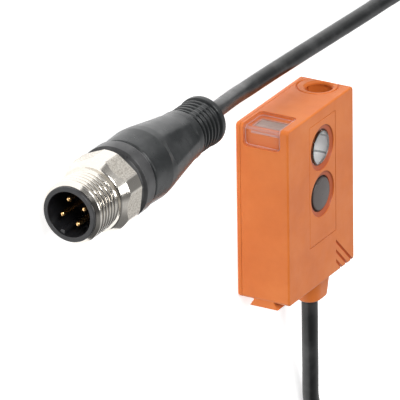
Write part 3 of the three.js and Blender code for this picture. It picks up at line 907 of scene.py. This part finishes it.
def rear_cover():
    """Flat cover with rounded lower edges and a plain shallow field on its back."""
    bm = plate((LEFT, RIGHT), (BOTTOM, TOP), (0, COVER_T), CORNER_R, 0.45, 0.08)
    side, end = COVER_FIELD_INSET
    outline = rounded_rectangle(
        (LEFT + side, RIGHT - side), (BOTTOM + end, TOP - end), COVER_FIELD_R)
    return cut(bm, prism(outline, "z", -1, COVER_FIELD_DEPTH))


def lens_panel():
    """Front panel; the funnels round the two lenses get the second material, the orange with
    painted shade.
    """
    face = HEAD_Z
    bm = plate(PANEL_X, PANEL_Y, (face - PANEL_T, face), 0.2, 0.02, 0.09, 3)
    sinks = []
    for lens_y in (EMITTER_Y, RECEIVER_Y):
        profile = [
            (face - PANEL_T - 1, 0),
            (face - PANEL_T - 1, LENS_R + LENS_GAP),
            (face - RECESS_DEPTH - 0.06, LENS_R + LENS_GAP),
            (face - RECESS_DEPTH, LENS_R + LENS_GAP + 0.06),
            (face - 0.34, RECESS_R - 0.3),
            (face - 0.3, RECESS_R - 0.12),
            (face - 0.22, RECESS_R - 0.04),
            (face - 0.08, RECESS_R + 0.01),
            (face + 0.04, RECESS_R + 0.1),
            (face + 1, RECESS_R + 0.1),
            (face + 1, 0),
        ]
        sinks.append(turned(profile, "z", (LENS_X, lens_y, 0), 128))
    bm = cut(bm, *sinks)
    # faces inside the funnels get the orange with painted shade
    for shown in bm.faces:
        middle = shown.calc_center_median()
        reach = min(math.hypot(middle.x - LENS_X, middle.y - y) for y in (EMITTER_Y, RECEIVER_Y))
        if reach < RECESS_R and middle.z < face - 0.06:
            shown.material_index = 1
    return bm


def lens(lens_y):
    """A flanged disc with a softly domed front."""
    seat = HEAD_Z - PANEL_T - SEAM
    top = HEAD_Z - LENS_DEPTH + LENS_DOME / 2
    profile = [
        (OPTICS_TOP + SEAM, 0),
        (OPTICS_TOP + SEAM, LENS_FLANGE_R - 0.05),
        (seat, LENS_FLANGE_R - 0.05),
        (seat, LENS_R - LENS_FIT),
        (top - LENS_BULGE - 0.05, LENS_R - LENS_FIT),
    ]
    steps = 12
    for k in range(steps + 1):
        radius = (LENS_R - 0.1) * (1 - k / steps)
        profile.append((top - LENS_BULGE * (radius / LENS_R) ** 2, radius))
    return turned(profile, "z", (LENS_X, lens_y, 0), 96)


def reflector():
    """Silver cup with the CAD's cone, cut lengthwise by five thin gaps."""
    bm = bmesh.new()
    levels = zip((REFLECTOR_FLOOR, OPTICS_TOP), REFLECTOR_R)
    walls = [(height, sign, reach) for height, radius in levels
             for sign, reach in ((1, radius - REFLECTOR_T), (-1, radius))]
    for start, end in REFLECTOR_SECTORS:
        steps = max(4, round((end - start) / 6))
        arc = [math.radians(start + (end - start) * k / steps) for k in range(steps + 1)]
        rings = []
        for height, sign, reach in walls:
            rings.append([
                bm.verts.new((
                    LENS_X + reach * math.cos(a), EMITTER_Y + reach * math.sin(a), height))
                for a in arc[::sign]])
        loops = [rings[0] + rings[1], rings[2] + rings[3]]
        count = len(loops[0])
        for i in range(count):
            k = (i + 1) % count
            bm.faces.new((loops[0][i], loops[0][k], loops[1][k], loops[1][i]))
        for loop in loops:
            for i in range(steps):
                bm.faces.new((loop[i], loop[i + 1], loop[count - 2 - i], loop[count - 1 - i]))
    bmesh.ops.recalc_face_normals(bm, faces=bm.faces)
    return bm


def adjuster_screw():
    """Slotted screw of the sensitivity adjuster, at the bottom of its well."""
    foot = SCREW_TOP - SCREW_HEIGHT
    profile = rounded([
        (foot - SCREW_STEM_LENGTH, 0),
        (foot - SCREW_STEM_LENGTH, SCREW_STEM_R),
        (foot, SCREW_STEM_R),
        (foot, SCREW_R),
        (foot + 0.6, SCREW_R),
        (foot + 0.6, SCREW_GROOVE_R),
        (SCREW_TOP - SCREW_HEAD, SCREW_GROOVE_R),
        (SCREW_TOP - SCREW_HEAD, SCREW_R),
        (SCREW_TOP, SCREW_R),
        (SCREW_TOP, 0),
    ], 0.12)
    body = turned(profile, "y", (WELL_X, 0, MID_Z))
    slot = block(
        (WELL_X - SLOT_LENGTH / 2, WELL_X + SLOT_LENGTH / 2),
        (SCREW_TOP - SLOT_W, SCREW_TOP + 1),
        (MID_Z - SLOT_W / 2, MID_Z + SLOT_W / 2),
        0.06,
    )
    return cut(body, slot)


# ---------------------------------------------------------------- plug

SECTOR = 60.0  # degrees from flat to flat
FLAT_HALF = math.degrees(math.acos(NUT_FLATS / 2 / NUT_R))


def from_flat(degrees):
    """The angle from the middle of the nearest flat."""
    return ((degrees - NUT_TURN) % SECTOR + SECTOR / 2) % SECTOR - SECTOR / 2


def nut_angles():
    """Angles round the nut, with steps that meet the edges between flats and lands."""
    made = []
    for sector in range(6):
        middle = NUT_TURN + sector * SECTOR
        for k in range(10):
            made.append(middle - FLAT_HALF + 2 * FLAT_HALF * k / 10)
        for k in range(6):
            made.append(middle + FLAT_HALF + (SECTOR - 2 * FLAT_HALF) * k / 6)
    return made


def thread_radius(s, degrees):
    """A rounded M12 x 1 thread with a lead-in and a run-out."""
    phase = (s / THREAD_PITCH - degrees / 360) % 1
    height = min(1.0, 2.6 * (0.5 - abs(phase - 0.5)))
    height = height * height * (3 - 2 * height)
    depth = THREAD_R - THREAD_ROOT_R
    fade = min(1, max(0, (s - THREAD_FRONT - 0.45) / 0.5), max(0, (THREAD_END - s) / 0.5))
    full = THREAD_R - 0.06
    lead = THREAD_ROOT_R - 0.1 + (s - THREAD_FRONT) * 1.2
    return min(full - depth * (1 - height) * fade, lead)


def nut_column(degrees):
    """A lengthwise line of the nut: thread, collar, chamfer, flat or land, back edge and bore."""
    column = [(THREAD_FRONT, NUT_BORE_R + 0.12), (THREAD_FRONT, THREAD_ROOT_R - 0.1)]
    for i in range(1, THREAD_ROWS):
        s = THREAD_FRONT + (THREAD_END - THREAD_FRONT) * i / THREAD_ROWS
        column.append((s, thread_radius(s, degrees)))
    column += [
        (THREAD_END + 0.08, THREAD_R - 0.3),
        (THREAD_END + 0.16, THREAD_R - 0.42),
        (THREAD_END + 0.5, THREAD_R - 0.42),
        (THREAD_END + 0.62, THREAD_R - 0.36),
        (NUT_FRONT - 0.04, THREAD_R - 0.2),
        (NUT_FRONT, THREAD_R),
        (NUT_FRONT + 0.02, NUT_FACE_R - 0.16),
        (NUT_FRONT + 0.1, NUT_FACE_R - 0.02),
        (NUT_FRONT + 0.26, NUT_FACE_R + 0.1),
    ]
    nearest = from_flat(degrees)
    flat = NUT_FLATS / 2 / math.cos(math.radians(nearest))
    edge = min(NUT_R, flat)
    slope = (NUT_CHAMFER - 0.26) / (NUT_R - NUT_FACE_R - 0.1)
    chamfer = NUT_FRONT + 0.26 + (edge - NUT_FACE_R - 0.1) * slope
    back = NUT_BACK - 0.1 - (edge - (NUT_R - 0.5)) * 0.3
    column += [(chamfer - 0.03, edge - 0.03), (chamfer + 0.04, edge)]
    length = back - chamfer - 0.08
    column += [(chamfer + 0.04 + length * k / 8, edge) for k in range(1, 8)]
    column += [
        (back - 0.04, edge),
        (back + 0.03, edge - 0.04),
        (NUT_BACK - 0.05, NUT_R - 0.6),
        (NUT_BACK, NUT_R - 0.7),
        (NUT_BACK, NUT_BORE_R + 0.12),
        (NUT_BACK - 0.12, NUT_BORE_R),
        (THREAD_FRONT + 0.12, NUT_BORE_R),
    ]
    return column


def around(s, radius, degrees):
    """A point round the plug's axis; 0 degrees is up and 90 is +Y."""
    angle = math.radians(degrees)
    return (s, radius * math.sin(angle), radius * math.cos(angle))


def coupling_nut():
    """The flats are blasted and get the second material."""
    columns = [
        [around(s, radius, degrees) for s, radius in nut_column(degrees)]
        for degrees in nut_angles()
    ]
    bm = revolve(columns, closed=True)
    bmesh.ops.recalc_face_normals(bm, faces=bm.faces)
    for face in bm.faces:
        middle = face.calc_center_median()
        if middle.x < NUT_FRONT + 0.3 or middle.x > NUT_BACK - 0.3:
            continue
        degrees = math.degrees(math.atan2(middle.y, middle.z))
        nearest = from_flat(degrees)
        normal = Vector(around(0, 1, degrees - nearest))
        if abs(nearest) < FLAT_HALF and face.normal.dot(normal) > 0.995:
            face.material_index = 1
    return bm


def contact_carrier():
    """Insert with a deep cavity and its key. The pins run into its solid floor."""
    profile = rounded([
        (CAVITY_DEPTH, 0),
        (CAVITY_DEPTH, CAVITY_R),
        (0, CAVITY_R + 0.12),
        (0, LIP_R),
        (THREAD_FRONT - SEAM, LIP_R),
        (THREAD_FRONT - SEAM, CARRIER_R),
        (CARRIER_END, CARRIER_R),
        (CARRIER_END, 0),
    ], 0.22)
    body = turned(profile, "x", (0, 0, 0), 96)
    start, end = 0.35, CAVITY_DEPTH + 0.5
    key_profile = rounded([(start, 0), (start, KEY_R), (end, KEY_R), (end, 0)], 0.3)
    return join(body, turned(key_profile, "x", around(0, CAVITY_R, KEY_ANGLE), 24))


def contact_pin(degrees):
    _, y, z = around(0, PIN_CIRCLE_R, degrees)
    profile = [(PIN_TIP, 0)]
    steps = 6
    for k in range(1, steps + 1):
        angle = math.pi / 2 * k / steps
        profile.append((PIN_TIP + PIN_NOSE * (1 - math.cos(angle)), PIN_R * math.sin(angle)))
    profile += [(PIN_TAIL, PIN_R), (PIN_TAIL, 0)]
    return turned(profile, "x", (0, y, z), 24)


def lock_ring():
    """Black ring with a smaller front step, which leaves a dark gap behind the nut."""
    profile = rounded([
        (RING_FRONT, CARRIER_R + SEAM),
        (RING_FRONT, RING_R - RING_STEP_DEPTH),
        (RING_FRONT + RING_STEP, RING_R - 0.7),
        (RING_FRONT + 1.5, RING_R),
        (RING_BACK - 0.4, RING_R),
        (RING_BACK, RING_R - 0.35),
        (RING_BACK, CARRIER_R + SEAM),
    ], 0.12, closed=True)
    return turned(profile, "x", (0, 0, 0), 96, closed=True)


def grip_profile():
    """The grip's outline from its front edge to its end flange, before the flats are cut."""
    points = [
        (GRIP_FRONT, 6.35),
        (GRIP_FRONT + 0.3, 6.5),
        (GRIP_FRONT + 0.6, 6.86),
        (22.0, 6.98),
        (25.1, 7.12),
        (27.0, 6.93),
        (30.0, 6.42),
        (34.0, 5.75),
        (37.6, 5.18),
        (38.5, 5.06),
        (40.2, 5.0),
    ]
    for i in range(RIB_COUNT):
        start = RIB_START + i * RIB_PITCH
        points += [
            (start, RIB_ROOT_R),
            (start + 0.42, RIB_ROOT_R),
            (start + 0.52, 4.75),
            (start + 1.0, 4.72),
        ]
    points += [(46.45, 4.3), (47.0, 4.3), (47.12, 4.9), (GRIP_BACK, 4.9), (GRIP_BACK, 2.2)]
    return points


def grip_body():
    """Overmould: a taper with a wide flat on each side, a ribbed neck and an end flange."""
    outline = rounded(grip_profile(), 0.16)
    outline.append((GRIP_BACK - 0.3, CABLE_R + 0.25))
    outline.append((GRIP_BACK - 0.5, 0))
    inside = [
        (CARRIER_END + SEAM, 0),
        (CARRIER_END + SEAM, CARRIER_R + SEAM),
        (GRIP_FRONT, CARRIER_R + SEAM),
    ]
    sides = 120
    columns = []
    for k in range(sides):
        degrees = 360 * k / sides
        column = []
        for s, radius in inside + outline:
            column.append(around(s, facet_radius(s, radius, degrees), degrees))
        columns.append(column)
    return revolve(columns)


def facet_radius(s, radius, degrees):
    """The radius where two opposite flats cut the taper, or bars cross the neck's grooves."""
    if radius < CARRIER_R - 0.8:
        return radius
    if RIB_START - 0.1 < s < RIB_START + RIB_COUNT * RIB_PITCH:
        away = (degrees - BRIDGE_ANGLE + 90) % 180 - 90
        return max(radius, BRIDGE_R) if abs(away) < BRIDGE_HALF else radius
    if not FACET_START < s < FACET_END:
        return radius
    depth = min(1, (s - FACET_START) / 0.5) * min(1, (FACET_END - s) / 0.8)
    away = math.radians((degrees - GRIP_FACET + 90) % 180 - 90)
    distance = FACET_REACH + FACET_RISE * (FACET_END - s) / (FACET_END - FACET_START)
    flat = distance / max(0.3, math.cos(away))
    return radius + (min(flat, radius) - radius) * depth


# ---------------------------------------------------------------- cable


def smooth_line(points, per_span=10):
    """Centripetal Catmull-Rom line through the points."""
    points = [Vector(p) for p in points]
    ends = [points[0] * 2 - points[1]] + points + [points[-1] * 2 - points[-2]]
    made = []
    for i in range(1, len(ends) - 2):
        p0, p1, p2, p3 = ends[i - 1:i + 3]
        t1 = (p1 - p0).length ** 0.5
        t2 = t1 + (p2 - p1).length ** 0.5
        t3 = t2 + (p3 - p2).length ** 0.5
        for k in range(per_span):
            t = t1 + (t2 - t1) * k / per_span
            a1 = p0.lerp(p1, t / t1)
            a2 = p1.lerp(p2, (t - t1) / (t2 - t1))
            a3 = p2.lerp(p3, (t - t2) / (t3 - t2))
            b1 = a1.lerp(a2, t / t2)
            b2 = a2.lerp(a3, (t - t1) / (t3 - t1))
            made.append(b1.lerp(b2, (t - t1) / (t2 - t1)))
    made.append(points[-1])
    return made


def cable_body(line):
    """A round jacket along the line, with a frame that doesn't twist."""
    rings = []
    side = Vector((0, 0, 1))
    for i, point in enumerate(line):
        ahead = (line[min(i + 1, len(line) - 1)] - line[max(i - 1, 0)]).normalized()
        side = (side - ahead * side.dot(ahead)).normalized()
        other = ahead.cross(side)
        ring = []
        for k in range(CABLE_SIDES):
            angle = 2 * math.pi * k / CABLE_SIDES
            ring.append(
                point + side * CABLE_R * math.cos(angle) + other * CABLE_R * math.sin(angle))
        rings.append(ring)
    return loft(rings)


# ---------------------------------------------------------------- lights and floor


def area_light(name, place, target, size, power):
    data = bpy.data.lights.new(name, "AREA")
    data.shape = "RECTANGLE"
    data.size, data.size_y = size
    data.energy = power
    light = bpy.data.objects.new(name, data)
    bpy.context.scene.collection.objects.link(light)
    light.location = place
    light.rotation_euler = (Vector(place) - Vector(target)).to_track_quat("Z", "Y").to_euler()
    light.visible_camera = False


# How bright the room is across Y: two pale screens with a dark gap between them.
SCREEN_BANDS = (
    (-0.8, 0.5),
    (-0.5, 1.0),
    (-0.3, 0.95),
    (-0.12, 0.3),
    (0.3, 0.25),
    (0.46, 1.0),
    (0.8, 1.0),
)
BRIGHT_SIDE = Vector((0.76, 0.1, 0.64))  # the pale wall and ceiling lie this way
ROOM_RANGE = ((0.0, 0.25), (0.95, 0.95))  # how pale the room is, away from and towards them
SOFTBOXES = {  # place, target and size in metres, and watts
    "softbox_left": ((-0.48, 0.66, 0.56), (-0.03, 0.02, 0), (0.45, 0.35), 5.3),
    "softbox_top": ((0.05, 0.25, 0.95), (-0.02, 0, 0), (0.5, 0.3), 2.8),
}
FLOOR_SIZE = 6.0
FLOOR_GLOW = 0.62


def set_grey(stop, position, level):
    stop.position = position
    stop.color = (level, level, level, 1)


def studio():
    """Two softboxes in a room that is pale behind the object and darker in front of it."""
    world = bpy.data.worlds.new("studio")
    bpy.context.scene.world = world
    world.use_nodes = True
    tree = world.node_tree
    direction = tree.nodes.new("ShaderNodeTexCoord").outputs["Generated"]
    towards = tree.nodes.new("ShaderNodeVectorMath")
    towards.operation = "DOT_PRODUCT"
    towards.inputs[1].default_value = BRIGHT_SIDE
    ramp = tree.nodes.new("ShaderNodeValToRGB")
    tree.links.new(direction, towards.inputs[0])
    tree.links.new(towards.outputs["Value"], ramp.inputs["Fac"])
    tree.links.new(ramp.outputs["Color"], tree.nodes["Background"].inputs["Color"])
    for stop, (position, level) in zip(ramp.color_ramp.elements, ROOM_RANGE):
        set_grey(stop, position, level)
    split = tree.nodes.new("ShaderNodeSeparateXYZ")
    across = tree.nodes.new("ShaderNodeMapRange")
    screens = tree.nodes.new("ShaderNodeValToRGB")
    across.inputs["From Min"].default_value = -1.0
    tree.links.new(direction, split.inputs[0])
    tree.links.new(split.outputs["Y"], across.inputs["Value"])
    tree.links.new(across.outputs["Result"], screens.inputs["Fac"])
    tree.links.new(screens.outputs["Color"], tree.nodes["Background"].inputs["Strength"])
    bands = screens.color_ramp.elements
    for _ in range(len(SCREEN_BANDS) - 2):
        bands.new(0.5)
    for band, (y, level) in zip(bands, SCREEN_BANDS):
        set_grey(band, (y + 1) / 2, level)
    bpy.context.scene.view_settings.view_transform = "Standard"
    for name, (place, target, size, power) in SOFTBOXES.items():
        area_light(name, place, target, size, power)


def floor():
    """White paper, with a little light of its own so that it comes out white."""
    bm = bmesh.new()
    bmesh.ops.create_grid(bm, x_segments=8, y_segments=8, size=FLOOR_SIZE)
    obj = to_object(bm, "floor")
    n = Nodes("floor_paper")
    shades = [(0.3, (0.93, 0.93, 0.93)), (0.7, (0.96, 0.96, 0.96))]
    n.set(
        Base_Color=n.ramp(n.noise(0.4, 3), shades),
        Roughness=n.spread(n.noise(0.05, 3), 0.85, 0.95),
        Normal=n.bump(n.noise(0.003, 2), 0.00002),
        Specular_IOR_Level=0.0,
        Emission_Color=(1, 1, 1, 1),
        Emission_Strength=FLOOR_GLOW,
    )
    obj.data.materials.append(n.material)


# ---------------------------------------------------------------- the scene

make_camera()

# The cord and the pieces of its plug.
cable_line = smooth_line(CABLE_ROUTE)
cable = piece("cable_jacket", cable_body(cable_line), "cable_jacket", "sensor", ["cable"])
grip = piece("plug_overmould", grip_body(), "black_rubber", "sensor", ["grip_body"],
             place=PLUG_FRAME, angle=28)
ring = piece("plug_ring", lock_ring(), "black_plastic", "sensor", ["lock_ring"],
             place=PLUG_FRAME)
carrier = piece("plug_insert", contact_carrier(), "black_plastic", "sensor", ["contact_carrier"],
                place=PLUG_FRAME)
pins = [
    piece(f"plug_pin_{i + 1}", contact_pin(degrees), "gold_plate", "sensor",
          [f"contact_pin_{i + 1}"], place=PLUG_FRAME)
    for i, degrees in enumerate(PIN_ANGLES)
]
nut = piece("plug_nut", coupling_nut(), ["nickel_plate", "nickel_blasted"], "nut",
            ["coupling_nut"], "nickel_plate", PLUG_FRAME, 24)

# The sensor head.
piece("sensor_housing", housing_shell(), "orange_plastic", "sensor", ["housing_shell"])
piece("sensor_rear_cover", rear_cover(), "orange_plastic", "sensor", ["rear_cover"])
piece("sensor_lens_panel", lens_panel(), ["orange_plastic", "orange_recess_painted_shade"], "sensor",
      ["lens_panel"], "orange_plastic")
piece("sensor_window", status_window(), ["clear_window", "clear_edge_painted_highlight"], "sensor",
      ["status_window"], "clear_window")
piece("sensor_emitter_lens", lens(EMITTER_Y), "clear_lens", "sensor", ["transmitter_lens"])
piece("sensor_receiver_lens", lens(RECEIVER_Y), "smoked_lens", "sensor", ["receiver_lens"])
piece("sensor_light_guide", light_guide(), ["guide", "clear_edge_painted_highlight"], "sensor", ["light_guide"],
      "clear_window")
piece("sensor_reflector", reflector(), "mirror_metal", "sensor", ["emitter_reflector"])
piece("adjuster_slotted_screw", adjuster_screw(), "white_plastic", "adjuster",
      ["adjuster_screw"])

# The CAD's own meshes that stay, all inside, with a finish for each.
CARRIED_OVER = {
    "optics_block": "black_plastic",
    "emitter_led": "clear_lens",
    "photodiode": "chip_package",
    "circuit_board": "board_laminate",
    "processor_chip": "chip_package",
    "driver_chip": "chip_package",
    "regulator_chip": "chip_package",
    "smoothing_capacitor": "ceramic",
    "board_connector": "white_plastic",
    "status_led_yellow": "led_yellow",
    "status_led_green": "led_green",
    "adjuster_body": "white_plastic",
    "adjuster_seal": "black_rubber",
    "cable_entry_plug": "black_rubber",
    "crimp_ring": "plated_steel",
    "core_brown": "wire_brown",
    "core_white": "wire_white",
    "core_blue": "wire_blue",
    "core_black": "wire_black",
}
for node_name, finish_name in CARRIED_OVER.items():
    for material_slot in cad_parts[node_name].material_slots:
        material_slot.material = FINISH[finish_name]

studio()
floor()
